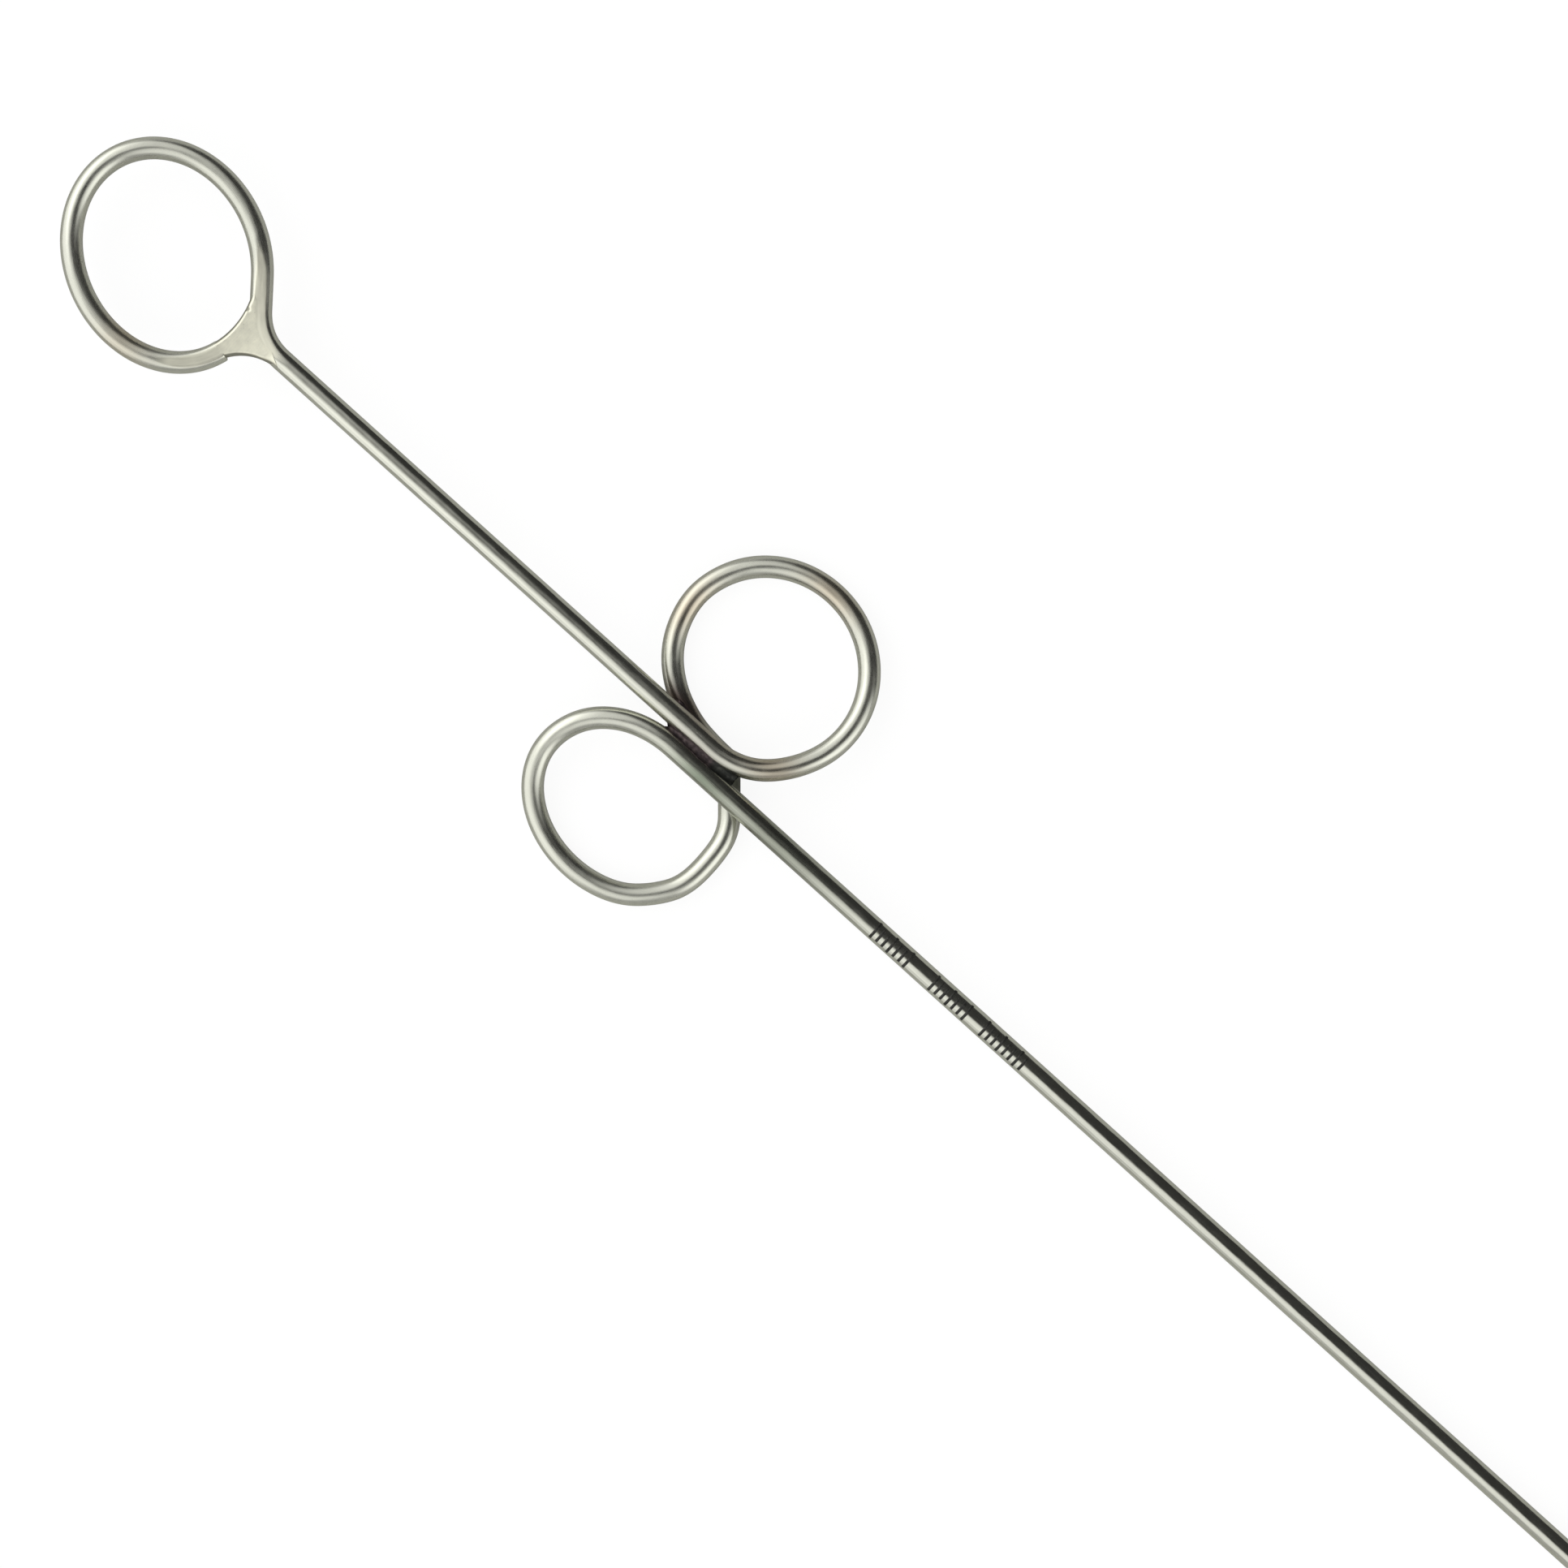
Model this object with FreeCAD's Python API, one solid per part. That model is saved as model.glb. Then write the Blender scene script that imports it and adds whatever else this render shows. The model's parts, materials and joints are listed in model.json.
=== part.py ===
"""Suspension rod for a mouth gag: two polished stainless wires with three eyes.

The upper rod starts as an oval eye closed by a ground weld, runs down as a shank and curls into a round
eye. The lower rod is a long plain leg whose top end curls into a second, flatter eye on the other side.
Both rods lie side by side where they meet, and brazed seams hold them and the tails of their eyes.

The rod frame, used up to the last step, has X along the leg towards its foot, Y towards the upper rod's
round eye and Z up, with its origin beside the seam between the two rods. The finished part lies on a
surface, on its two lower eyes and its foot, with its origin at the middle of that footprint.
"""
import FreeCAD, Part
import math
import os

from FreeCAD import Vector

# Wire
WIRE_RADIUS = 2.0
FOOT_ROUNDING = 0.7
BEND_SHARE = 0.45            # how much of a run between two corners one bend may take up
END_BEND_SHARE = 0.90        # the same where the run is the first or the last one
LONGEST_BEND_ARM = 5.2       # from a corner to where its bend starts

# Overall layout along the rods (X) and across them (Y)
UPPER_ROD_Y = 2.25
LOWER_ROD_Y = -2.2
FOOT_X = 307.6
TAIL_DROP = 4.25             # how far the tails of the lower eyes lie behind the rods at the seam

# Top eye: an oval whose free end meets the shank. Angles are in degrees.
TOP_EYE_CENTRE = (-128.4, 2.4)
TOP_EYE_HALF_LENGTH = 19.4
TOP_EYE_HALF_WIDTH = 16.2
TOP_EYE_TILT = -23.3
TOP_EYE_FREE_END = 6.7       # round the oval from its long axis
TOP_EYE_BRANCH = 57.5        # where the shank leaves the oval
NECK_X = -106.3              # where the branch turns into the straight shank

# Upper eye, nearly round: from its lowest point right, up and left, then down behind the shank
UPPER_EYE_CENTRE_X = -1.1
UPPER_EYE_HALF_LENGTH = 18.15
UPPER_EYE_HALF_WIDTH = 17.35
UPPER_EYE_TILT = -10.0
UPPER_EYE_END = 190.0        # where the tail leaves the oval
UPPER_TAIL = [(-19.2, 17.2), (-16.5, 10.7), (-11.3, 5.9), (-4.9, 3.2), (1.0, 2.5), (4.2, 2.5)]

# Lower eye, flatter: from its highest point left, down and right, then up behind both rods
LOWER_EYE_CENTRE_X = -3.65
LOWER_EYE_HALF_LENGTH = 17.55
LOWER_EYE_HALF_WIDTH = 13.92
LOWER_TAIL = [(13.9, -10.5), (12.6, -6.2), (6.1, 1.0)]

# Bent by hand, the wires stand off their ovals at some corners: corner number, and by how much
UPPER_EYE_NUDGES = {0: (1.5, 0.0), 1: (0.5, -0.25)}
LOWER_EYE_NUDGES = {0: (-0.4, 0.0), 1: (-0.2, 0.2), 2: (-0.2, 0.15), 10: (-0.35, 0.35), 11: (-0.1, 0.15)}

EYE_STEP = 22.5              # degrees between two corners of an eye's outline
DESCENT_SHARE = 0.55         # part of an eye over which its wire sinks to the surface

# Weld that closes the top eye, with a rounded inner and a hollow outer edge
WELD_HALF_THICKNESS = 1.55
WELD_INNER_EDGE = [(-112.1, 6.0), (-111.25, 1.7), (-111.9, -3.4)]
WELD_OUTER_EDGE = [(-108.4, -3.8), (-107.2, -2.35), (-102.0, 0.3)]
WHEEL_RADIUS = 80.0          # the wheel that ground the weld's two faces flush
WHEEL_WIDTH = 40.0
WHEEL_X = -109.3
GROUND_HALF_THICKNESS = 1.6  # what the wheel leaves of the wire beside the weld

# Brazed seams
SEAM_ENDS = [(-8.6, 0.0), (6.4, 0.0)]
SEAM_HALF_WIDTH = 1.6
SEAM_HALF_HEIGHT = 0.95
UPPER_TAIL_SEAM_ENDS = [(-7.0, 3.4), (1.2, 2.5)]
LOWER_TAIL_SEAM_ENDS = [(10.6, -4.0), (6.3, 0.75)]
TAIL_SEAM_HALF_WIDTH = 1.15
TAIL_SEAM_TOP = -1.25
TAIL_SEAM_BOTTOM = -3.0


def table_drop(x):
    """Height of a wire's middle, against the rods' own, where the wire lies on the surface."""
    return -TAIL_DROP * (1.0 - x / FOOT_X)


def smooth_step(share):
    share = min(max(share, 0.0), 1.0)
    return share * share * (3.0 - 2.0 * share)


def oval_point(oval, angle, outside=1.0):
    """A point of a tilted oval, or outside it by the given factor."""
    centre, half_length, half_width, tilt = oval
    along = outside * half_length * math.cos(math.radians(angle))
    across = outside * half_width * math.sin(math.radians(angle))
    turn = math.radians(tilt)
    x = centre[0] + along * math.cos(turn) - across * math.sin(turn)
    y = centre[1] + along * math.sin(turn) + across * math.cos(turn)
    return x, y


def oval_corners(oval, start, end):
    """Corners of an open polygon whose sides touch the oval, the first and last at start and end."""
    count = round(abs(end - start) / EYE_STEP)
    step = (end - start) / count
    outside = 1.0 / math.cos(math.radians(step / 2.0))
    return [oval_point(oval, start + step * (index + 0.5), outside) for index in range(count)]


def nudged(corners, nudges):
    """The corners of an eye, some of them moved a little."""
    moves = [nudges.get(index, (0.0, 0.0)) for index in range(len(corners))]
    return [(x + along, y + across) for (x, y), (along, across) in zip(corners, moves)]


def sink_to_table(corners):
    """Give a lower eye's corners their heights: level with the rods first, then down to the surface."""
    reach = DESCENT_SHARE * (len(corners) - 1)
    return [Vector(x, y, table_drop(x) * smooth_step(index / reach))
            for index, (x, y) in enumerate(corners)]


def bent_path(corners):
    """Straight runs joined by tangent arcs, one arc at each inner corner."""
    last = len(corners) - 1
    edges = []
    here = corners[0]
    for index in range(1, last):
        before, corner, after = corners[index - 1], corners[index], corners[index + 1]
        share_before = END_BEND_SHARE if index == 1 else BEND_SHARE
        share_after = END_BEND_SHARE if index == last - 1 else BEND_SHARE
        arm = min(share_before * (corner - before).Length,
                  share_after * (after - corner).Length, LONGEST_BEND_ARM)
        towards = (before - corner).normalize()
        away = (after - corner).normalize()
        half_turn = (math.pi - towards.getAngle(away)) / 2.0
        radius = arm / math.tan(half_turn)
        first, second = corner + towards * arm, corner + away * arm
        middle = corner + (towards + away).normalize() * (radius / math.cos(half_turn) - radius)
        edges.append(Part.LineSegment(here, first).toShape())
        edges.append(Part.Arc(first, middle, second).toShape())
        here = second
    edges.append(Part.LineSegment(here, corners[last]).toShape())
    return Part.Wire(edges)


def round_wire(name, corners):
    """A wire of constant round section along the corners' bent path."""
    path = bent_path(corners)
    heading = (corners[1] - corners[0]).normalize()
    section = Part.Wire([Part.Circle(corners[0], heading, WIRE_RADIUS).toShape()])
    solid = path.makePipeShell([section], True, False)
    share = solid.Volume / (math.pi * WIRE_RADIUS ** 2 * path.Length)
    print(f"{name}: {path.Length:.1f} mm of wire, volume {share:.4f} of section times length")
    return solid


def top_eye_corners():
    oval = (TOP_EYE_CENTRE, TOP_EYE_HALF_LENGTH, TOP_EYE_HALF_WIDTH, TOP_EYE_TILT)
    around = oval_corners(oval, TOP_EYE_FREE_END, TOP_EYE_BRANCH - 360.0)
    return [Vector(x, y, 0.0) for x, y in [oval_point(oval, TOP_EYE_FREE_END)] + around]


def upper_eye_corners():
    turn = math.radians(UPPER_EYE_TILT)
    reach_along = UPPER_EYE_HALF_LENGTH * math.sin(turn)
    reach_across = UPPER_EYE_HALF_WIDTH * math.cos(turn)
    centre = (UPPER_EYE_CENTRE_X, UPPER_ROD_Y + math.hypot(reach_along, reach_across))
    lowest = math.degrees(math.atan2(-reach_across, -reach_along))
    oval = (centre, UPPER_EYE_HALF_LENGTH, UPPER_EYE_HALF_WIDTH, UPPER_EYE_TILT)
    corners = nudged(oval_corners(oval, lowest, UPPER_EYE_END), UPPER_EYE_NUDGES)
    return sink_to_table(corners + UPPER_TAIL)


def lower_eye_corners():
    centre = (LOWER_EYE_CENTRE_X, LOWER_ROD_Y - LOWER_EYE_HALF_WIDTH)
    oval = (centre, LOWER_EYE_HALF_LENGTH, LOWER_EYE_HALF_WIDTH, 0.0)
    corners = nudged(oval_corners(oval, 90.0, 360.0), LOWER_EYE_NUDGES)
    return sink_to_table(corners + LOWER_TAIL)


def upper_rod():
    neck = Vector(NECK_X, UPPER_ROD_Y, 0.0)
    return round_wire("upper rod", top_eye_corners() + [neck] + upper_eye_corners())


def lower_rod():
    foot = Vector(FOOT_X, LOWER_ROD_Y, 0.0)
    solid = round_wire("lower rod", [foot] + lower_eye_corners())
    rim = [edge for edge in solid.Edges if edge.CenterOfMass.distanceToPoint(foot) < WIRE_RADIUS / 2.0]
    return solid.makeFillet(FOOT_ROUNDING, rim)


def weld_blank():
    """The weld before the wire is taken out of it."""
    inner = [Vector(x, y, -WELD_HALF_THICKNESS) for x, y in WELD_INNER_EDGE]
    outer = [Vector(x, y, -WELD_HALF_THICKNESS) for x, y in WELD_OUTER_EDGE]
    outline = [Part.Arc(*inner), Part.LineSegment(inner[-1], outer[0]),
               Part.Arc(*outer), Part.LineSegment(outer[-1], inner[0])]
    face = Part.Face(Part.Wire([side.toShape() for side in outline]))
    return face.extrude(Vector(0.0, 0.0, 2.0 * WELD_HALF_THICKNESS))


def grinding_wheel(side):
    """The wheel that dresses the weld's upper face (side 1) or its lower face (side -1)."""
    centre = Vector(WHEEL_X, -WHEEL_WIDTH / 2.0, side * (WHEEL_RADIUS + GROUND_HALF_THICKNESS))
    return Part.makeCylinder(WHEEL_RADIUS, WHEEL_WIDTH, centre, Vector(0.0, 1.0, 0.0))


def seam(ends, half_width, bottom, top, rods):
    """Filler metal in the gap between two wires: a straight bar with the wires taken out of it."""
    start, end = (Vector(x, y, bottom) for x, y in ends)
    along = end - start
    across = Vector(-along.y, along.x, 0.0).normalize() * half_width
    corners = [start - across, end - across, end + across, start + across, start - across]
    return Part.Face(Part.makePolygon(corners)).extrude(Vector(0.0, 0.0, top - bottom)).cut(rods)


def build():
    upper, lower = upper_rod(), lower_rod()
    weld = weld_blank().cut(upper)
    for side in (1.0, -1.0):
        upper = upper.cut(grinding_wheel(side))
        weld = weld.cut(grinding_wheel(side))
    rods = Part.makeCompound([upper, lower])
    tail_seam = (TAIL_SEAM_HALF_WIDTH, TAIL_SEAM_BOTTOM, TAIL_SEAM_TOP, rods)
    return {
        "upper_rod": upper,
        "lower_rod": lower,
        "top_eye_weld": weld,
        "rod_seam_braze": seam(SEAM_ENDS, SEAM_HALF_WIDTH, -SEAM_HALF_HEIGHT, SEAM_HALF_HEIGHT, rods),
        "upper_tail_braze": seam(UPPER_TAIL_SEAM_ENDS, *tail_seam),
        "lower_tail_braze": seam(LOWER_TAIL_SEAM_ENDS, *tail_seam),
    }


def lay_down(parts):
    """Lean the rods until they lie on the two lower eyes and the foot, and centre the footprint."""
    lean = math.degrees(math.atan2(TAIL_DROP, FOOT_X))
    for shape in parts.values():
        shape.rotate(Vector(0.0, 0.0, 0.0), Vector(0.0, 1.0, 0.0), lean)
    box = Part.makeCompound(list(parts.values())).optimalBoundingBox(False, False)
    move = Vector(-box.Center.x, -box.Center.y, -box.ZMin)
    for shape in parts.values():
        shape.translate(move)
    print(f"leaned by {lean:.4f} degrees, moved by {move.x:.3f}, {move.y:.3f}, {move.z:.3f} mm")
    print(f"size {box.XLength:.2f} x {box.YLength:.2f} x {box.ZLength:.2f} mm")


os.makedirs("parts", exist_ok=True)
nodes = build()
lay_down(nodes)
for name, shape in nodes.items():
    solid, = shape.Solids
    print(f"{name}: valid {shape.isValid()}, volume {solid.Volume:.1f} mm3")
    solid.exportStep(f"parts/{name}.step")
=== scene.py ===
# Looks of the mouth gag's suspension rod, lying on a pale surface and seen from straight above.
# Wires, weld and seams are built in the rod frame of the design, in millimetres: X along the leg
# towards its foot, Y towards the round eye, Z up. to_row() turns that into metres in the row frame.
from collections import namedtuple
import json
import math

import bmesh
import bpy
from mathutils import Matrix
import numpy as np


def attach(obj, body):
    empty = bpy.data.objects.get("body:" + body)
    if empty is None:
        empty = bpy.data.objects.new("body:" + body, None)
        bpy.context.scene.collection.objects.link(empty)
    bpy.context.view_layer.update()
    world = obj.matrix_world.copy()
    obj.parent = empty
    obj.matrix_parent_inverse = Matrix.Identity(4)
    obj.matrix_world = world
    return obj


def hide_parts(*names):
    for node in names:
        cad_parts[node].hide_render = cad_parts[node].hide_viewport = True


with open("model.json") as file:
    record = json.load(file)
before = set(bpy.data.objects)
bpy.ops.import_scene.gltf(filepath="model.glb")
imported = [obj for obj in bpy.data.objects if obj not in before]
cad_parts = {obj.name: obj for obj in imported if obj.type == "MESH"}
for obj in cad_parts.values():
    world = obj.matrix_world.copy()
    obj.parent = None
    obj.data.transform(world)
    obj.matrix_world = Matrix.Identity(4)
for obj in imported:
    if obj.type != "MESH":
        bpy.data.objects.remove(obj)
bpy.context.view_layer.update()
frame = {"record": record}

# ---------------------------------------------------------------- driving dimensions, as in the design
MM = 0.001
WIRE_RADIUS = 2.0
FOOT_ROUNDING = 0.7
CUT_ROUNDING = 0.3           # burr taken off the other cut ends
LONGEST_BEND_ARM = 5.2       # from a corner beside a long run to where its bend begins

UPPER_ROD_Y = 2.25
LOWER_ROD_Y = -2.2
FOOT_X = 307.6
TAIL_DROP = 4.25

TOP_EYE = ((-128.4, 2.4), 19.4, 16.2, -23.3)    # centre, half length, half width, tilt
TOP_EYE_FREE_END = 6.7       # degrees round the oval
TOP_EYE_BRANCH = 57.5        # where the wire leaves it for the shank
NECK_X = -106.3

UPPER_EYE_CENTRE_X = -1.1
UPPER_EYE_HALF_LENGTH = 18.15
UPPER_EYE_HALF_WIDTH = 17.35
UPPER_EYE_TILT = -10.0
UPPER_EYE_END = 190.0
UPPER_TAIL = [(-19.2, 17.2), (-16.5, 10.7), (-11.3, 5.9), (-4.9, 3.2), (1.0, 2.5), (4.2, 2.5)]

LOWER_EYE_CENTRE_X = -3.65
LOWER_EYE_HALF_LENGTH = 17.55
LOWER_EYE_HALF_WIDTH = 13.92
LOWER_TAIL = [(13.9, -10.5), (12.6, -6.2), (6.1, 1.0)]

# Bent by hand, the wires stand off their ovals at some corners: corner number, and by how much
UPPER_EYE_NUDGES = {0: (1.5, 0.0), 1: (0.5, -0.25)}
LOWER_EYE_NUDGES = {0: (-0.4, 0.0), 1: (-0.2, 0.2), 2: (-0.2, 0.15), 10: (-0.35, 0.35), 11: (-0.1, 0.15)}

EYE_STEP = 22.5              # degrees from one corner of an eye to the next
DESCENT_SHARE = 0.55         # of an eye's corners, over which its wire sinks to the table

WELD_INNER_EDGE = [(-111.9, -3.4), (-111.25, 1.7), (-112.1, 6.0)]    # from the free end to the shank
WELD_OUTER_EDGE = [(-108.4, -3.8), (-107.2, -2.35), (-102.0, 0.3)]
GROUND_HALF_THICKNESS = 1.6
WHEEL_X = -109.3             # where the grinding wheel went deepest
WHEEL_RADIUS = 80.0
WHEEL_REACH = 9.0            # along X, to each side
GROUND_FADE = (0.12, 0.28)   # the wire looks ground from this far under the wheel's cut, over this height
PIT_MIDDLE = (-111.2, 4.9)   # a dent at the edge of the weld
PIT_RADIUS = 0.35
PIT_DEPTH = 0.30

LOWER_TAIL_CROSSING = (9.1, -2.3, 0.0)    # on the leg, above the end of the lower tail

# ---------------------------------------------------------------- how finely the meshes follow that
RING_STEP = 0.45             # along a wire
RING_SIDES = 56
CURVE_SAMPLES = 24           # points along the curve at one corner
WALK = 0.05                  # spacing of the points that lengths are measured on

FOOT_MOUNT = next(mount for mount in frame["record"]["mounts"] if mount["name"] == "foot_end")
ROD_X = np.array(FOOT_MOUNT["axis"])
ROD_Y = np.array([0.0, 1.0, 0.0])
ROD_Z = np.cross(ROD_X, ROD_Y)
ROD_AXES = np.array([ROD_X, ROD_Y, ROD_Z])
ROD_ORIGIN = np.array(FOOT_MOUNT["pos_m"]) - MM * (FOOT_X * ROD_X + LOWER_ROD_Y * ROD_Y)


def to_row(points):
    """Points of the rod frame, in millimetres, as metres in the row frame."""
    return ROD_ORIGIN + MM * (np.asarray(points, float) @ ROD_AXES)


def unit(vector):
    return vector / np.linalg.norm(vector, axis=-1, keepdims=True)


def smooth_step(share):
    share = np.clip(share, 0.0, 1.0)
    return share * share * (3.0 - 2.0 * share)


# ---------------------------------------------------------------- the wires' middle lines
def table_drop(x):
    return -TAIL_DROP * (1.0 - x / FOOT_X)


def oval_point(oval, angle, outside=1.0):
    centre, half_length, half_width, tilt = oval
    along = outside * half_length * math.cos(math.radians(angle))
    across = outside * half_width * math.sin(math.radians(angle))
    turn = math.radians(tilt)
    x = centre[0] + along * math.cos(turn) - across * math.sin(turn)
    y = centre[1] + along * math.sin(turn) + across * math.cos(turn)
    return x, y


def oval_corners(oval, start, end):
    """Corners of an open polygon whose sides touch the oval, the first and last at start and end."""
    count = round(abs(end - start) / EYE_STEP)
    step = (end - start) / count
    outside = 1.0 / math.cos(math.radians(step / 2.0))
    return [oval_point(oval, start + step * (index + 0.5), outside) for index in range(count)]


def nudged(corners, nudges):
    """The corners of an eye, some of them moved a little."""
    moves = [nudges.get(index, (0.0, 0.0)) for index in range(len(corners))]
    return [(x + along, y + across) for (x, y), (along, across) in zip(corners, moves)]


def level(corners):
    return [(x, y, 0.0) for x, y in corners]


def sink_to_table(corners):
    reach = DESCENT_SHARE * (len(corners) - 1)
    return [(x, y, table_drop(x) * smooth_step(index / reach)) for index, (x, y) in enumerate(corners)]


def upper_rod_corners():
    top = [oval_point(TOP_EYE, TOP_EYE_FREE_END)]
    top += oval_corners(TOP_EYE, TOP_EYE_FREE_END, TOP_EYE_BRANCH - 360.0)
    turn = math.radians(UPPER_EYE_TILT)
    reach_along = UPPER_EYE_HALF_LENGTH * math.sin(turn)
    reach_across = UPPER_EYE_HALF_WIDTH * math.cos(turn)
    centre = (UPPER_EYE_CENTRE_X, UPPER_ROD_Y + math.hypot(reach_along, reach_across))
    lowest = math.degrees(math.atan2(-reach_across, -reach_along))
    oval = (centre, UPPER_EYE_HALF_LENGTH, UPPER_EYE_HALF_WIDTH, UPPER_EYE_TILT)
    corners = nudged(oval_corners(oval, lowest, UPPER_EYE_END), UPPER_EYE_NUDGES)
    eye = sink_to_table(corners + UPPER_TAIL)
    return level(top) + [(NECK_X, UPPER_ROD_Y, 0.0)] + eye


def lower_rod_corners():
    centre = (LOWER_EYE_CENTRE_X, LOWER_ROD_Y - LOWER_EYE_HALF_WIDTH)
    oval = (centre, LOWER_EYE_HALF_LENGTH, LOWER_EYE_HALF_WIDTH, 0.0)
    corners = nudged(oval_corners(oval, 90.0, 360.0), LOWER_EYE_NUDGES)
    return [(FOOT_X, LOWER_ROD_Y, 0.0)] + sink_to_table(corners + LOWER_TAIL)


def middle_line(corners):
    """Closely and evenly spaced points along the corners, each corner rounded by a quadratic curve."""
    corners = np.array(corners, float)
    last = len(corners) - 1
    pieces = [corners[:1]]
    share = np.linspace(0.0, 1.0, CURVE_SAMPLES)[:, None]
    for index in range(1, last):
        before, corner, after = corners[index - 1:index + 2]
        arm_before = np.linalg.norm(before - corner) * (1.0 if index == 1 else 0.5)
        arm_after = np.linalg.norm(after - corner) * (1.0 if index == last - 1 else 0.5)
        if max(arm_before, arm_after) > LONGEST_BEND_ARM:    # beside a long run both sides bend alike
            arm_before = arm_after = min(arm_before, arm_after, LONGEST_BEND_ARM)
        first = corner + unit(before - corner) * arm_before
        second = corner + unit(after - corner) * arm_after
        pieces.append((1 - share) ** 2 * first + 2 * share * (1 - share) * corner + share ** 2 * second)
    pieces.append(corners[last:])
    points = np.vstack(pieces)
    walked = lengths_along(points)
    stations = np.linspace(0.0, walked[-1], round(walked[-1] / WALK) + 1)
    return np.stack([np.interp(stations, walked, points[:, axis]) for axis in range(3)], axis=1)


def lengths_along(points):
    return np.concatenate([[0.0], np.cumsum(np.linalg.norm(np.diff(points, axis=0), axis=1))])


def ground_limit(x):
    """Half the thickness that the grinding wheel leaves at x."""
    return GROUND_HALF_THICKNESS + (x - WHEEL_X) ** 2 / (2.0 * WHEEL_RADIUS)


# ---------------------------------------------------------------- tints left by heat and handling, and painted shade
Tint = namedtuple("Tint", "middle reach colour satin")    # reach along X, Y and Z; satin is 0 to 1
BROWN = (0.24, 0.18, 0.18)
STRAW = (0.86, 0.76, 0.68)
GREEN_GREY = (0.46, 0.52, 0.46)
DULL = (0.42, 0.44, 0.41)
GROUND_WITH_SHEEN = (1.34, 1.31, 1.24)    # where the grinding wheel has cut: lighter steel, brightened beyond it into a painted sheen
TINTS = [
    Tint((-1.0, 0.0, 0.0), (6.5, 1.9, 2.2), BROWN, 0.8),           # along the seam between the rods
    Tint((8.0, 0.4, -2.6), (4.2, 3.4, 2.4), (0.135, 0.14, 0.125), 0.9),    # where the lower tail ends: heat tint darkened into painted shade in the gap under the leg
    Tint((-8.5, 4.6, -2.6), (6.5, 2.6, 2.6), BROWN, 0.7),          # where the upper tail joins
    Tint((-3.0, 4.2, 0.0), (9.0, 1.2, 2.4), (0.66, 0.58, 0.55), 0.6),    # the shank beside it
    Tint((-124.0, -13.3, 0.0), (5.0, 4.0, 3.0), STRAW, 0.2),       # inside of the top eye
    Tint((-1.7, 36.5, -1.0), (6.0, 3.0, 3.0), STRAW, 0.2),         # far side of the round eye
    Tint((11.0, 6.8, 1.0), (6.0, 4.0, 2.0), STRAW, 0.2),           # start of the round eye
    Tint((-18.6, 18.0, -2.0), (3.0, 6.0, 3.0), STRAW, 0.1),        # side of the round eye
    Tint((3.0, -3.0, 1.6), (6.5, 1.3, 1.3), GREEN_GREY, 0.7),      # brushed after brazing
    Tint((20.0, -2.6, 1.2), (16.0, 2.6, 2.0), DULL, 0.30),         # the leg just past the seam
    Tint((-128.4, 2.4, 0.0), (24.0, 24.0, 6.0), (0.97, 0.97, 0.97), 0.85),    # top eye, brushed all round
    Tint((-0.5, 20.0, -2.0), (26.0, 22.0, 8.0), (1.0, 1.0, 1.0), 0.80),       # round eye
    Tint((-4.0, -17.0, -2.0), (26.0, 20.0, 8.0), (1.0, 1.0, 1.0), 0.80),      # lower eye
    Tint((-109.5, 0.5, 0.0), (7.0, 7.0, 3.0), (1.05, 1.04, 1.02), 0.75),    # brushed around the weld
]


def tint_of(points):
    """(colour multiplier, satin) for each point of a steel surface, from the tints around it."""
    colour = np.ones((len(points), 3))
    satin = np.zeros(len(points))
    for tint in TINTS:
        off = (points - np.array(tint.middle)) / np.array(tint.reach)
        weight = np.exp(-np.sum(off ** 2, axis=1))
        colour *= 1.0 + (np.array(tint.colour) - 1.0) * weight[:, None]
        satin = np.maximum(satin, tint.satin * weight)
    return colour, satin


# ---------------------------------------------------------------- meshes
def face_outward(mesh):
    """Turn every face of a closed mesh outward."""
    shell = bmesh.new()
    shell.from_mesh(mesh)
    bmesh.ops.recalc_face_normals(shell, faces=shell.faces)
    shell.to_mesh(mesh)
    shell.free()


def make_piece(name, points, faces, material, replaced, places=None, ground=0.0):
    """A smooth-shaded piece of the object, from points of the rod frame.

    Its materials read places, which are the points themselves unless given. ground says how far each point
    was ground, from 0 to 1, and by as much its colour moves to the lighter ground steel, which carries a
    painted sheen."""
    mesh = bpy.data.meshes.new(name)
    mesh.from_pydata(to_row(points).tolist(), [], faces)
    face_outward(mesh)
    colour, satin = tint_of(points)
    ground = np.broadcast_to(ground, len(points))
    # where ground, the colour turns to the lighter ground steel with its painted sheen
    colour += ground[:, None] * (np.array(GROUND_WITH_SHEEN) - colour)
    satin = np.maximum(satin, ground)
    places = points if places is None else places
    mesh.attributes.new("place", "FLOAT_VECTOR", "POINT").data.foreach_set("vector", places.ravel())
    mesh.attributes.new("tint", "FLOAT_VECTOR", "POINT").data.foreach_set("vector", colour.ravel())
    mesh.attributes.new("satin", "FLOAT", "POINT").data.foreach_set("value", satin)
    mesh.polygons.foreach_set("use_smooth", [True] * len(mesh.polygons))
    mesh.materials.append(material)
    piece = bpy.data.objects.new(name, mesh)
    bpy.context.scene.collection.objects.link(piece)
    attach(piece, "root")
    if replaced:
        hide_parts(replaced)


def skin_faces(rings, sides):
    """Quads between closed rings of points, and a fan over each end.

    The two points after the rings are the middles of the ends."""
    faces = []
    for ring in range(rings - 1):
        for side in range(sides):
            after = (side + 1) % sides
            here, there = ring * sides, (ring + 1) * sides
            faces.append((here + side, here + after, there + after, there + side))
    first_middle, last_middle = rings * sides, rings * sides + 1
    last_ring = (rings - 1) * sides
    for side in range(sides):
        after = (side + 1) % sides
        faces.append((first_middle, after, side))
        faces.append((last_middle, last_ring + side, last_ring + after))
    return faces


def closed_skin(points, rings, sides):
    """The points of all rings with the middles of both end rings added, and the faces over them."""
    ends = points.reshape(rings, sides, 3)[[0, -1]].mean(axis=1)
    return np.vstack([points, ends]), skin_faces(rings, sides)


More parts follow.
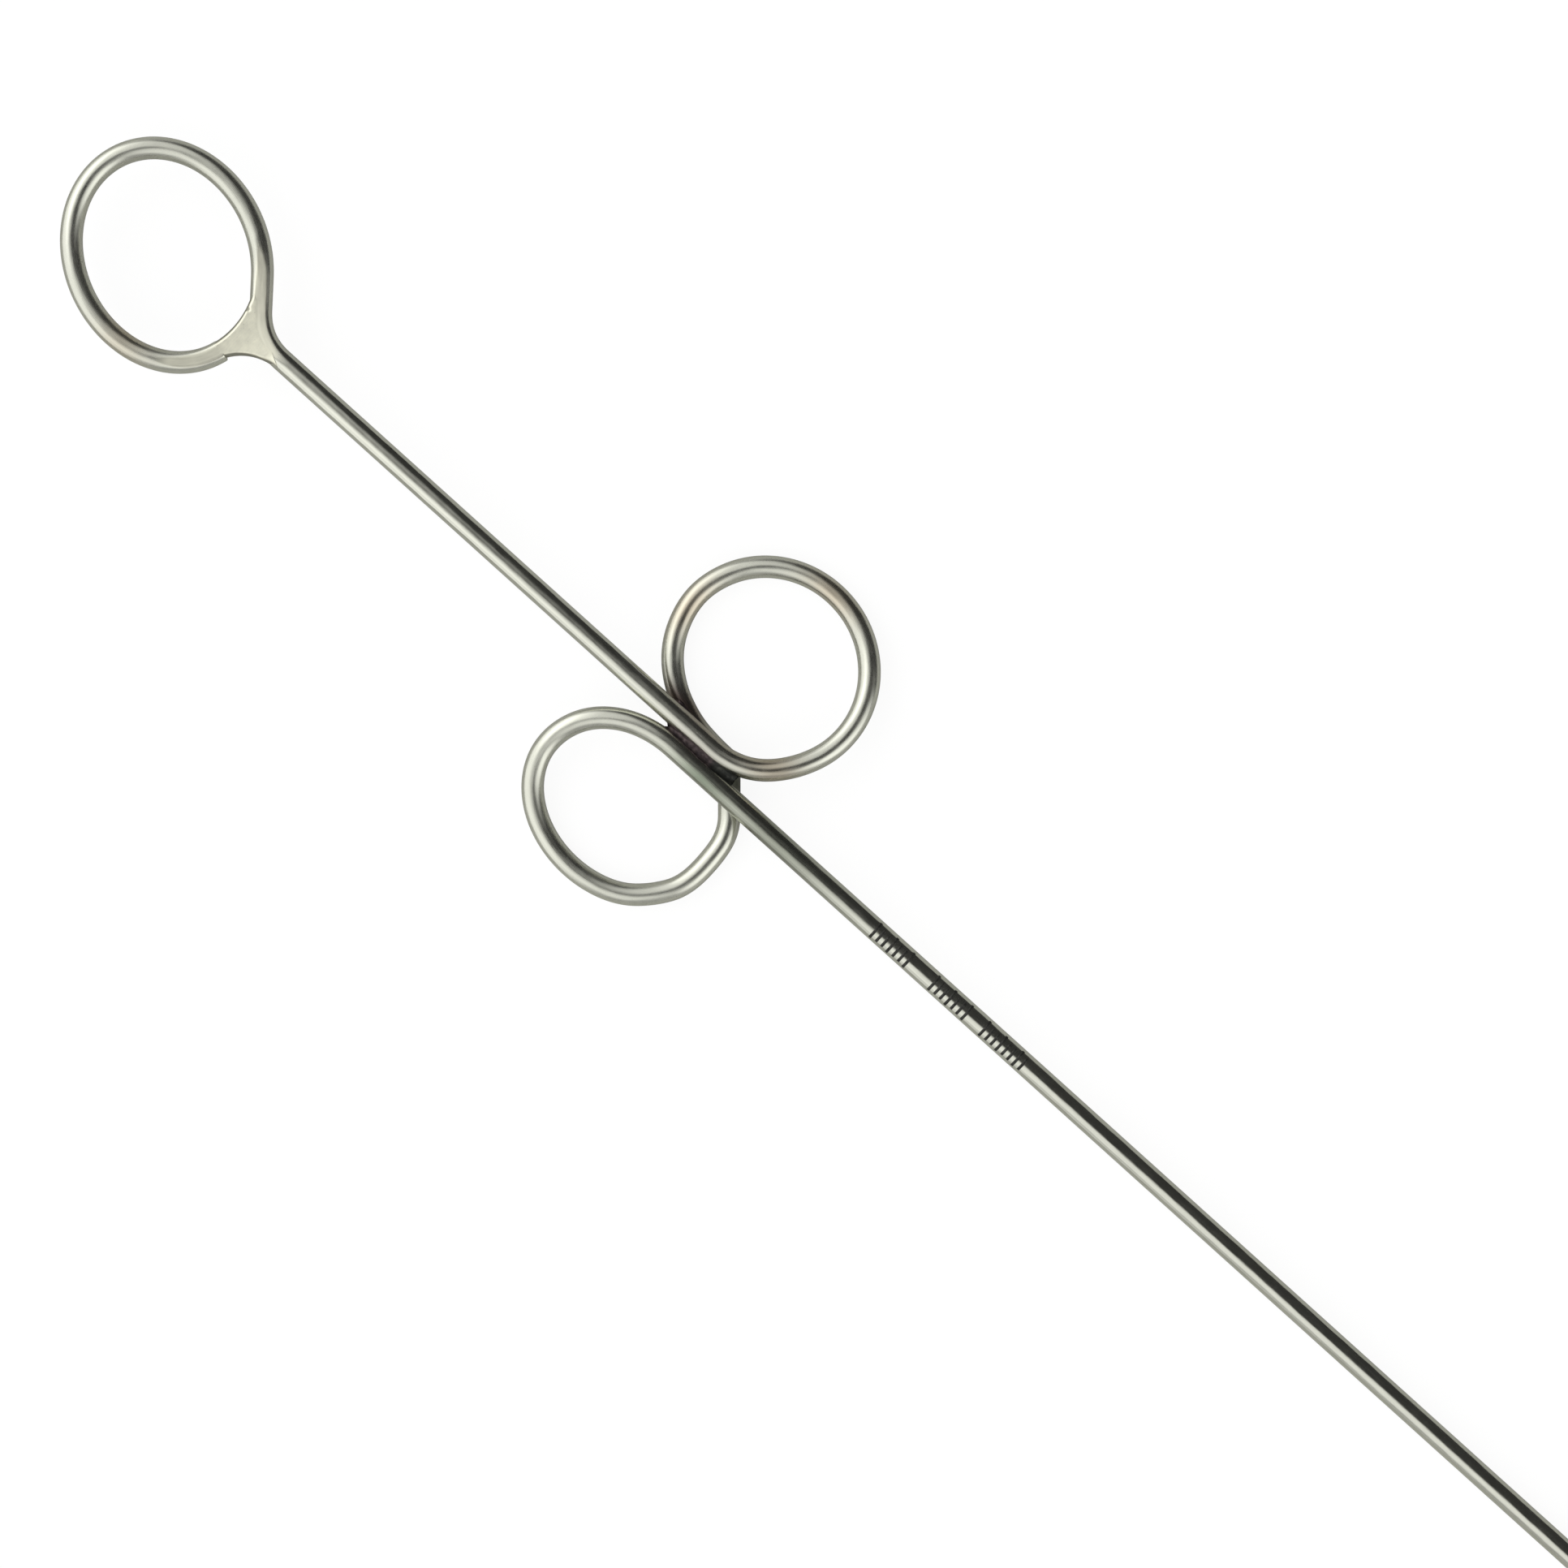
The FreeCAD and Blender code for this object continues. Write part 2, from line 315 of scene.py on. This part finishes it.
def wire_stations(length, roundings):
    """(distance along the wire, radius) for each ring, with both end faces and their rounded rims."""
    turns = np.radians(np.linspace(90.0, 0.0, 7))

    def cut_end(rounding):
        face = [(0.0, (WIRE_RADIUS - rounding) * share) for share in (0.25, 0.5, 0.75)]
        rim = [(rounding * (1 - math.sin(a)), WIRE_RADIUS - rounding * (1 - math.cos(a))) for a in turns]
        return face + rim

    start, end = roundings
    first, last = cut_end(start), cut_end(end)
    inner = np.linspace(start, length - end, round((length - start - end) / RING_STEP) + 1)[1:-1]
    middle = [(distance, WIRE_RADIUS) for distance in inner]
    return np.array(first + middle + [(length - distance, radius) for distance, radius in reversed(last)])


def wire(name, line, roundings, material, replaced, ground=False):
    """A round wire along its middle line. Near the weld its faces are ground flat."""
    walked = lengths_along(line)
    stations = wire_stations(walked[-1], roundings)
    heading = unit(np.gradient(line, axis=0))
    centres, headings = (
        np.stack([np.interp(stations[:, 0], walked, values[:, axis]) for axis in range(3)], axis=1)
        for values in (line, heading)
    )
    sideways = unit(np.cross(headings, [0.0, 0.0, 1.0]))
    upwards = np.cross(sideways, unit(headings))
    angles = np.arange(RING_SIDES) * 2.0 * math.pi / RING_SIDES
    around = (np.cos(angles)[None, :, None] * sideways[:, None, :]
              + np.sin(angles)[None, :, None] * upwards[:, None, :])
    points = (centres[:, None, :] + stations[:, 1][:, None, None] * around).reshape(-1, 3)
    points = np.vstack([points, centres[0], centres[-1]])
    ground_and_sheen = np.zeros(len(points))
    if ground:
        near = np.abs(points[:, 0] - WHEEL_X) < WHEEL_REACH
        limit = ground_limit(points[near, 0])
        below, height = GROUND_FADE
        ground_and_sheen[near] = smooth_step((np.abs(points[near, 2]) - limit + below) / height)
        points[near, 2] = soft_limit(points[near, 2], limit)
    distances, radii = np.repeat(stations[:, 0], RING_SIDES), np.repeat(stations[:, 1], RING_SIDES)
    turn_x = np.tile(np.cos(angles), len(stations)) * radii
    turn_y = np.tile(np.sin(angles), len(stations)) * radii
    places = np.stack([distances, turn_x, turn_y], axis=1)    # as if the wire were straight
    places = np.vstack([places, [0.0, 0.0, 0.0], [walked[-1], 0.0, 0.0]])
    faces = skin_faces(len(stations), RING_SIDES)
    make_piece(name, points, faces, material, replaced, places, ground_and_sheen)


def soft_limit(heights, limit, softness=0.07):
    """Heights cut off at plus and minus the limit, with a softened edge."""
    over = (limit - np.abs(heights)) / softness
    cut = limit - softness * np.logaddexp(0.0, over)
    return np.sign(heights) * np.maximum(cut, 0.0)


def arc_through(first, middle, last, shares):
    """Points at the given shares of the circular arc through three points of the plane."""
    (ax, ay), (bx, by), (cx, cy) = first, middle, last
    twice = 2.0 * (ax * (by - cy) + bx * (cy - ay) + cx * (ay - by))
    a2, b2, c2 = ax ** 2 + ay ** 2, bx ** 2 + by ** 2, cx ** 2 + cy ** 2
    centre = np.array([(a2 * (by - cy) + b2 * (cy - ay) + c2 * (ay - by)) / twice,
                       (a2 * (cx - bx) + b2 * (ax - cx) + c2 * (bx - ax)) / twice])
    radius = math.hypot(ax - centre[0], ay - centre[1])
    start = math.atan2(ay - centre[1], ax - centre[0])
    sweep = (math.atan2(cy - centre[1], cx - centre[0]) - start + math.pi) % (2.0 * math.pi) - math.pi
    angles = start + sweep * np.asarray(shares)
    return centre + radius * np.stack([np.cos(angles), np.sin(angles)], axis=1)


def top_eye_weld(line, material):
    """The web that closes the top eye: ground flush with the wire, its edges left as they set."""
    rings, flat, rim = 84, 50, 9
    shares = np.linspace(-0.15, 1.26, rings)     # both ends run on into the wire
    inner = arc_through(*WELD_INNER_EDGE, shares)
    outer = arc_through(*WELD_OUTER_EDGE, shares)
    blended = smooth_step((shares - 0.80) / 0.40)        # 1 where the web has run out into the shank
    into_end = smooth_step(-shares / 0.15)               # 1 where it has run out over the free end
    turns = np.linspace(-math.pi / 2, math.pi / 2, rim)
    free_end = 1.1                       # of the wire's length, where the web covers it
    by_wheel = np.abs(line[:, 0] - WHEEL_X) < WHEEL_REACH
    wire_line = line[by_wheel & (lengths_along(line) > free_end), :2]
    lift = 0.005                         # of the web's face over the ground level
    dip, dips_from, dips_fully = 0.018, 1.1, 0.1    # under the wire's face, by distance from its middle line
    points = []
    for start, end, blend, over in zip(inner, outer, blended, into_end):
        across = unit(end - start)
        width = np.linalg.norm(end - start)
        inner_round = 0.9 + 0.5 * blend + 0.8 * over
        outer_round = 0.75 + 1.8 * blend + 0.8 * over
        offsets = np.concatenate([inner_round * (1.0 - np.cos(turns)),
                                  np.linspace(inner_round, width - outer_round, flat)[1:-1],
                                  width - outer_round * (1.0 - np.cos(turns[::-1])),
                                  np.linspace(width - outer_round, inner_round, flat)[1:-1]])
        heights = np.concatenate([np.sin(turns), np.ones(flat - 2),
                                  np.sin(turns[::-1]), -np.ones(flat - 2)])
        place = start + offsets[:, None] * across
        from_pit = (place - np.array(PIT_MIDDLE)) / PIT_RADIUS
        pit = PIT_DEPTH * np.exp(-np.sum(from_pit ** 2, axis=1))
        from_wire = np.min(np.linalg.norm(place[:, None, :] - wire_line[None], axis=2), axis=1)
        sunk = dip * smooth_step((dips_from - from_wire) / (dips_from - dips_fully))
        half = ground_limit(place[:, 0]) + lift - sunk - pit
        points.append(np.column_stack([place, heights * half]))
    points, faces = closed_skin(np.vstack(points), rings, len(points[0]))
    make_piece("weld_web", points, faces, material, "top_eye_weld")


def run_of_line(line, x_low, x_high, from_end):
    """The part of a middle line between two X values, on its first or its last pass there."""
    inside = (line[:, 0] >= x_low) & (line[:, 0] <= x_high)
    indices = np.flatnonzero(inside)
    breaks = np.flatnonzero(np.diff(indices) > 1)
    chosen = indices[breaks[-1] + 1:] if from_end and len(breaks) else indices
    if not from_end and len(breaks):
        chosen = indices[:breaks[0] + 1]
    part = line[chosen]
    return part[np.argsort(part[:, 0])]


def at_x(part, x):
    """Points of a middle line at the given X values."""
    y, z = (np.interp(x, part[:, 0], part[:, axis]) for axis in (1, 2))
    return np.stack([x, y, z], axis=1)


def filler(name, first, second, start, end, material, replaced):
    """Filler metal between two wires that run side by side, drawn into a hollow fillet on both sides.

    start and end give the X where it begins and ends, and the radius of its fillet there."""
    rings, arc = 90, 11
    tuck = 1.04                  # the fillets' edges run a little way into the wires
    thinnest = 0.004
    start_bow, end_bow, bow_reach = 0.8, 0.4, 0.9    # the middle of each end is drawn back
    x = np.linspace(start[0], end[0], rings)
    fillet = np.linspace(start[1], end[1], rings)
    one, two = at_x(first, x), at_x(second, x)
    middle = (one + two) / 2.0
    apart = np.linalg.norm(two - one, axis=1)
    towards = (two - one) / apart[:, None]
    outward = np.cross([1.0, 0.0, 0.0], towards)
    closing = (apart ** 2 / 4.0 - WIRE_RADIUS ** 2) / (2.0 * WIRE_RADIUS)    # fillet of no height
    share = np.linspace(-1.0, 1.0, rings)
    fullness = np.sqrt(np.clip(1.0 - np.abs(share) ** 3, 0.0, 1.0))
    wobble = 1.0 + 0.10 * np.sin(2.1 * x + 0.7) + 0.06 * np.sin(5.3 * x)
    radius = closing + np.maximum(fillet - closing, 0.0) * fullness * wobble + thinnest
    height = np.sqrt((WIRE_RADIUS + radius) ** 2 - apart ** 2 / 4.0)
    reach = np.arccos(height / (WIRE_RADIUS + radius)) * tuck
    points = []
    for index in range(rings):
        angles = np.linspace(-reach[index], reach[index], arc)[:, None]
        for side in (1.0, -1.0):
            rise = height[index] - radius[index] * np.cos(angles * side)
            along = radius[index] * np.sin(angles * side)
            points.append(middle[index] + side * rise * outward[index] + along * towards[index])
    points = np.vstack(points)
    sides = 2 * arc
    x_of_points = points.reshape(rings, sides, 3)[:, :, 0]
    bow = 1.0 - np.tile(np.linspace(-1.0, 1.0, arc), 2) ** 2
    from_start, from_end = (x - x[0])[:, None], (x[-1] - x)[:, None]
    x_of_points += start_bow * bow * np.exp(-from_start / bow_reach)
    x_of_points -= end_bow * bow * np.exp(-from_end / bow_reach)
    points, faces = closed_skin(points, rings, sides)
    make_piece(name, points, faces, material, replaced)


def saddle(name, above, along_above, below, along_below, material, replaced):
    """Filler metal where one wire crosses under another: a waisted blob drawn out along both."""
    rings, sides = 17, 36
    waist, spread = 1.15, 1.15
    angles = np.arange(sides) * 2.0 * math.pi / sides
    points = []
    for share in np.linspace(0.0, 1.0, rings):
        centre = above + (below - above) * share
        lean = unit(along_above * (1.0 - share) + along_below * share)
        across = np.array([-lean[1], lean[0], 0.0])
        flare = abs(2.0 * share - 1.0) ** 2.2
        long, short = waist + 2.0 * spread * flare, waist + 0.45 * spread * flare
        lump = 1.0 + 0.05 * np.sin(3.0 * angles + 4.0 * share)
        lengthwise = (long * np.cos(angles) * lump)[:, None] * lean
        crosswise = (short * np.sin(angles) * lump)[:, None] * across
        points.append(centre + (lengthwise + crosswise))
    points, faces = closed_skin(np.vstack(points), rings, sides)
    make_piece(name, points, faces, material, replaced)


def leg_ticks(material):
    """Plain etched ticks around the front of the leg, in three groups, every third one longer."""
    groups = [(43.8, 7), (57.6, 7), (69.6, 8)]    # X of the first tick, and how many
    long_reach, short_reach = (-60.0, 52.0), (-50.0, 30.0)    # degrees round the leg from its top
    pitch, half_width, columns = 1.30, 0.27, 25
    section = [(-half_width, -0.05), (-half_width, 0.004), (0.0, 0.015),    # along the leg, and above it
               (half_width, 0.004), (half_width, -0.05)]
    points, faces = [], []
    for start, count in groups:
        for number in range(count):
            x = start + pitch * number
            first, last = long_reach if number % 3 == 0 else short_reach
            base = len(points)
            for angle in np.radians(np.linspace(first, last, columns)):
                for offset, lift in section:
                    radius = WIRE_RADIUS + lift
                    y = LOWER_ROD_Y + radius * math.sin(angle)
                    points.append((x + offset, y, radius * math.cos(angle)))
            tick = np.array(points[base:]).reshape(columns, len(section), 3)
            points += [tuple(tick[0].mean(axis=0)), tuple(tick[-1].mean(axis=0))]
            shell = skin_faces(columns, len(section))
            faces += [tuple(base + corner for corner in face) for face in shell]
    make_piece("leg_ticks", np.array(points), faces, material, None)


# ---------------------------------------------------------------- materials
def add(tree, kind, inputs=None, **settings):
    """A new node; inputs gives each named or numbered socket a value or another node's output."""
    node = tree.nodes.new(kind)
    for name, value in settings.items():
        setattr(node, name, value)
    for socket, value in (inputs or {}).items():
        if isinstance(value, bpy.types.NodeSocket):
            tree.links.new(value, node.inputs[socket])
        else:
            node.inputs[socket].default_value = value
    return node


def attribute(tree, name, output):
    """What make_piece stored in a mesh under this name."""
    return add(tree, "ShaderNodeAttribute", attribute_name=name).outputs[output]


def noise(tree, place, stretch, detail=3.0, roughness=0.55):
    """Noise from 0 to 1 whose grain is 1 / stretch millimetres along each axis of the place."""
    moved = add(tree, "ShaderNodeVectorMath", {0: place, 1: stretch}, operation="MULTIPLY")
    made = add(tree, "ShaderNodeTexNoise", {"Vector": moved.outputs[0], "Scale": 1.0, "Detail": detail,
                                            "Roughness": roughness})
    return made.outputs["Fac"]


def ramp(tree, value, low, high, to_low=0.0, to_high=1.0):
    """value from low..high to to_low..to_high, held at both ends."""
    made = add(tree, "ShaderNodeMapRange", {"Value": value, "From Min": low, "From Max": high,
                                            "To Min": to_low, "To Max": to_high})
    return made.outputs[0]


def maths(tree, operation, first, second):
    return add(tree, "ShaderNodeMath", {0: first, 1: second}, operation=operation).outputs[0]


def scaled(tree, vector, factor):
    """A vector or colour times a number that varies over the surface."""
    return add(tree, "ShaderNodeVectorMath", {0: vector, "Scale": factor}, operation="SCALE").outputs[0]


def product(tree, first, second):
    return add(tree, "ShaderNodeVectorMath", {0: first, 1: second}, operation="MULTIPLY").outputs[0]


def new_material(name, metallic, roughness):
    material = bpy.data.materials.new(name)
    material.use_nodes = True
    shader = material.node_tree.nodes["Principled BSDF"]
    shader.inputs["Metallic"].default_value = metallic
    shader.inputs["Roughness"].default_value = roughness
    return material, material.node_tree, shader


def bumped(tree, shader, layers):
    """Stack bumps on the shader's normal; each layer is (height, strength, depth in millimetres)."""
    normal = None
    for height, strength, depth in layers:
        inputs = {"Height": height, "Strength": strength, "Distance": depth * MM}
        if normal is not None:
            inputs["Normal"] = normal
        normal = add(tree, "ShaderNodeBump", inputs).outputs["Normal"]
    tree.links.new(normal, shader.inputs["Normal"])


STEEL = (0.70, 0.705, 0.625)    # base colour that tints and shades multiply


def polished_steel():
    """Hand-polished stainless wire: faint lines along it, soft unevenness, satin where it was worked."""
    material, tree, shader = new_material("polished_wire", 1.0, 0.16)
    place = attribute(tree, "place", "Vector")
    satin = attribute(tree, "satin", "Fac")
    lines = noise(tree, place, (0.05, 7.0, 7.0), detail=2.0)
    wander = noise(tree, place, (0.12, 0.5, 0.5), detail=2.0)
    patches = noise(tree, place, (0.35, 0.9, 0.9), detail=4.0)
    grit = noise(tree, place, (9.0, 9.0, 9.0), detail=2.0)
    shade = maths(tree, "MULTIPLY", ramp(tree, patches, 0.3, 0.75, 0.94, 1.03),
                  ramp(tree, lines, 0.3, 0.7, 0.97, 1.02))
    specks = ramp(tree, grit, 0.74, 0.80, 1.0, 0.72)
    colour = product(tree, attribute(tree, "tint", "Vector"), STEEL)
    colour = scaled(tree, scaled(tree, colour, shade), specks)
    tree.links.new(colour, shader.inputs["Base Color"])
    worn = maths(tree, "ADD", ramp(tree, patches, 0.35, 0.7, 0.12, 0.18),
                 ramp(tree, lines, 0.3, 0.7, -0.02, 0.05))
    rough = maths(tree, "ADD", worn, maths(tree, "MULTIPLY", satin, 0.24))
    tree.links.new(rough, shader.inputs["Roughness"])
    bumped(tree, shader, [(wander, 0.6, 0.10), (lines, 0.35, 0.006), (grit, 0.12, 0.002)])
    return material


def ground_steel():
    """The weld: satin cream faces with fine wheel marks and a painted sheen, darker unground edges with heat
    oxide and painted shade, and a few pores.
    """
    material, tree, shader = new_material("ground_weld", 1.0, 0.4)
    place = attribute(tree, "place", "Vector")
    marks = noise(tree, place, (5.0, 0.5, 1.0), detail=3.0)
    patches = noise(tree, place, (0.7, 0.7, 0.7), detail=4.0)
    pores = noise(tree, place, (4.0, 4.0, 4.0), detail=1.0)
    height = add(tree, "ShaderNodeSeparateXYZ", {0: place}).outputs["Z"]
    face_not_shaded_edge = ramp(tree, maths(tree, "ABSOLUTE", height, 0.0), 1.38, 1.57)
    shade = maths(tree, "MULTIPLY", ramp(tree, patches, 0.3, 0.7, 0.95, 1.05),
                  ramp(tree, marks, 0.3, 0.7, 0.97, 1.03))
    shade = maths(tree, "MULTIPLY", shade, ramp(tree, pores, 0.72, 0.80, 1.0, 0.7))
    # the rounded unground edges darkened to 0.40: heat oxide on the bead, with painted shade over it
    shade = maths(tree, "MULTIPLY", shade, ramp(tree, face_not_shaded_edge, 0.0, 1.0, 0.40, 1.0))
    # ground steel brightened beyond the polished wire: a painted sheen on the weld's faces
    colour = scaled(tree, product(tree, GROUND_WITH_SHEEN, STEEL), shade)
    tree.links.new(colour, shader.inputs["Base Color"])
    tree.links.new(ramp(tree, patches, 0.3, 0.7, 0.42, 0.54), shader.inputs["Roughness"])
    bumped(tree, shader, [(patches, 0.5, 0.03), (marks, 0.4, 0.008), (pores, 0.3, 0.02)])
    return material


def dark_braze():
    """Filler metal darkened by heat: brown with a violet cast, dull and slightly lumpy."""
    material, tree, shader = new_material("braze", 0.85, 0.45)
    place = attribute(tree, "place", "Vector")
    lumps = noise(tree, place, (0.8, 1.4, 1.4), detail=4.0)
    grain = noise(tree, place, (5.0, 5.0, 5.0), detail=3.0)
    mix = add(tree, "ShaderNodeMix", {0: ramp(tree, lumps, 0.35, 0.65), 6: (0.045, 0.036, 0.038, 1.0),
                                      7: (0.12, 0.092, 0.092, 1.0)}, data_type="RGBA")
    along = add(tree, "ShaderNodeSeparateXYZ", {0: place}).outputs["X"]
    past_middle = ramp(tree, along, 2.3, 3.4)    # darker and greener there, towards the foot: soot, with painted shade in the gap past the seam
    sooty_and_shaded = add(tree, "ShaderNodeMix", {0: past_middle, 6: (1.0, 1.0, 1.0, 1.0),
                                        7: (0.50, 0.68, 0.60, 1.0)}, data_type="RGBA")
    colour = scaled(tree, mix.outputs[2], ramp(tree, grain, 0.3, 0.7, 0.85, 1.1))
    colour = product(tree, colour, sooty_and_shaded.outputs[2])
    tree.links.new(colour, shader.inputs["Base Color"])
    tree.links.new(ramp(tree, lumps, 0.3, 0.7, 0.52, 0.34), shader.inputs["Roughness"])
    bumped(tree, shader, [(lumps, 0.6, 0.15), (grain, 0.4, 0.02)])
    return material


def etched_line():
    """Dark matt etching, a little uneven."""
    material, tree, shader = new_material("etched_line", 0.6, 0.5)
    place = attribute(tree, "place", "Vector")
    fade = noise(tree, place, (2.0, 2.5, 2.5), detail=3.0)
    colour = scaled(tree, (0.030, 0.030, 0.027), ramp(tree, fade, 0.3, 0.7, 0.5, 2.2))
    tree.links.new(colour, shader.inputs["Base Color"])
    tree.links.new(ramp(tree, fade, 0.3, 0.7, 0.55, 0.4), shader.inputs["Roughness"])
    return material


# ---------------------------------------------------------------- the object
steel = polished_steel()
braze = dark_braze()

upper_line = middle_line(upper_rod_corners())
lower_line = middle_line(lower_rod_corners())
wire("upper_wire", upper_line, (CUT_ROUNDING, CUT_ROUNDING), steel, "upper_rod", ground=True)
wire("lower_wire", lower_line, (FOOT_ROUNDING, CUT_ROUNDING), steel, "lower_rod")
top_eye_weld(upper_line, ground_steel())

shank = run_of_line(upper_line, -30.0, 11.0, from_end=False)
leg = run_of_line(lower_line, -12.0, 40.0, from_end=False)
upper_tail = run_of_line(upper_line, -14.0, 4.0, from_end=True)
filler("rod_seam_filler", shank, leg, (-7.9, 0.60), (8.0, 1.45), braze, "rod_seam_braze")
filler("upper_tail_filler", shank, upper_tail, (-9.6, 1.10), (3.6, 0.70), braze, "upper_tail_braze")
crossing = np.array(LOWER_TAIL_CROSSING)
lower_tail = lower_line[-round(10.0 / WALK):]
under = lower_tail[np.argmin(np.abs(lower_tail[:, 0] - crossing[0]))]
tail_way = unit(lower_tail[-round(2.0 / WALK)] - lower_tail[-1])
saddle("lower_tail_filler", crossing, np.array([1.0, 0.0, 0.0]), under, tail_way, braze, "lower_tail_braze")
leg_ticks(etched_line())

# ---------------------------------------------------------------- surface, lights and camera
VIEW_X, VIEW_Y = 14.61, 6.04   # the point of the rod frame that the camera looks down on
VIEW_WIDTH = 276.0           # of the rods' plane, in millimetres
CAMERA_ROLL = 42.05          # degrees
SENSOR = 36.0
LENS = 100.0

# Softboxes and one dark side, as seen from the object: azimuth from the picture's right, angle from
# straight up, half width and softness in degrees, and how much each adds to the studio's own level.
STUDIO_LEVEL = 0.40
STUDIO_LOWEST = 0.04
BACKDROP_LEVEL = 0.95        # what the camera itself sees past the table
STUDIO_LIGHTS = [
    (174.0, 90.0, 44.0, 28.0, 0.80),
    (122.0, 39.0, 22.0, 17.0, 0.85),
    (244.0, 42.0, 10.0, 22.0, 0.60),
    (326.0, 57.0, 13.0, 22.0, 1.08),
    (40.0, 44.0, 40.0, 22.0, -0.46),
]


def direction(azimuth, from_top):
    """Unit vector towards a place in the studio."""
    turn, tip = math.radians(azimuth + CAMERA_ROLL), math.radians(from_top)
    return (math.sin(tip) * math.cos(turn), math.sin(tip) * math.sin(turn), math.cos(tip))


def studio():
    """Pale even surroundings with large soft lights and one darker side."""
    world = bpy.data.worlds.new("studio")
    world.use_nodes = True
    tree = world.node_tree
    out_of_scene = add(tree, "ShaderNodeTexCoord").outputs["Generated"]
    level = STUDIO_LEVEL
    for azimuth, from_top, half_width, softness, strength in STUDIO_LIGHTS:
        facing = add(tree, "ShaderNodeVectorMath", {0: out_of_scene, 1: direction(azimuth, from_top)},
                     operation="DOT_PRODUCT").outputs["Value"]
        inside = add(tree, "ShaderNodeMapRange", {
            "Value": facing, "From Min": math.cos(math.radians(half_width + softness)),
            "From Max": math.cos(math.radians(half_width))}, interpolation_type="SMOOTHSTEP").outputs[0]
        level = maths(tree, "ADD", level, maths(tree, "MULTIPLY", inside, strength))
    level = maths(tree, "MAXIMUM", level, STUDIO_LOWEST)
    straight = add(tree, "ShaderNodeLightPath").outputs["Is Camera Ray"]
    shown = add(tree, "ShaderNodeMix", {0: straight, 2: level, 3: BACKDROP_LEVEL}).outputs[0]
    background = tree.nodes["Background"]
    tree.links.new(shown, background.inputs["Strength"])
    background.inputs["Color"].default_value = (1.0, 1.0, 0.985, 1.0)
    bpy.context.scene.world = world


def surface():
    """A plain pale table top: white to the eye, quieter in the metal's reflections."""
    half = 4.0                   # metres
    mesh = bpy.data.meshes.new("table_top")
    mesh.from_pydata([(-half, -half, 0.0), (half, -half, 0.0), (half, half, 0.0), (-half, half, 0.0)],
                     [], [(0, 1, 2, 3)])
    material = bpy.data.materials.new("table_top")
    material.use_nodes = True
    tree = material.node_tree
    tree.nodes.clear()
    glow = add(tree, "ShaderNodeEmission", {"Color": (1.0, 1.0, 1.0, 1.0), "Strength": 0.90})
    faint = add(tree, "ShaderNodeBsdfDiffuse", {"Color": (0.16, 0.16, 0.16, 1.0)})
    seen = add(tree, "ShaderNodeAddShader", {0: glow.outputs[0], 1: faint.outputs[0]})
    reflected = add(tree, "ShaderNodeBsdfDiffuse", {"Color": (0.60, 0.60, 0.57, 1.0)})
    straight = add(tree, "ShaderNodeLightPath").outputs["Is Camera Ray"]
    both = add(tree, "ShaderNodeMixShader", {0: straight, 1: reflected.outputs[0], 2: seen.outputs[0]})
    add(tree, "ShaderNodeOutputMaterial", {"Surface": both.outputs[0]})
    mesh.materials.append(material)
    floor = bpy.data.objects.new("table_top", mesh)
    bpy.context.scene.collection.objects.link(floor)


def camera():
    """Square above the rods, turned so that they cross the picture from its top left to its lower right."""
    data = bpy.data.cameras.new("camera")
    data.sensor_width, data.lens = SENSOR, LENS
    eye = bpy.data.objects.new("camera", data)
    bpy.context.scene.collection.objects.link(eye)
    turn = math.radians(CAMERA_ROLL)
    right = math.cos(turn) * ROD_X + math.sin(turn) * ROD_Y
    up = math.cos(turn) * ROD_Y - math.sin(turn) * ROD_X
    place = to_row((VIEW_X, VIEW_Y, VIEW_WIDTH * LENS / SENSOR))
    rows = np.column_stack([right, up, ROD_Z, place]).tolist()
    eye.matrix_world = Matrix(rows + [[0.0, 0.0, 0.0, 1.0]])
    bpy.context.scene.camera = eye


studio()
surface()
camera()
bpy.context.scene.view_settings.view_transform = "Standard"
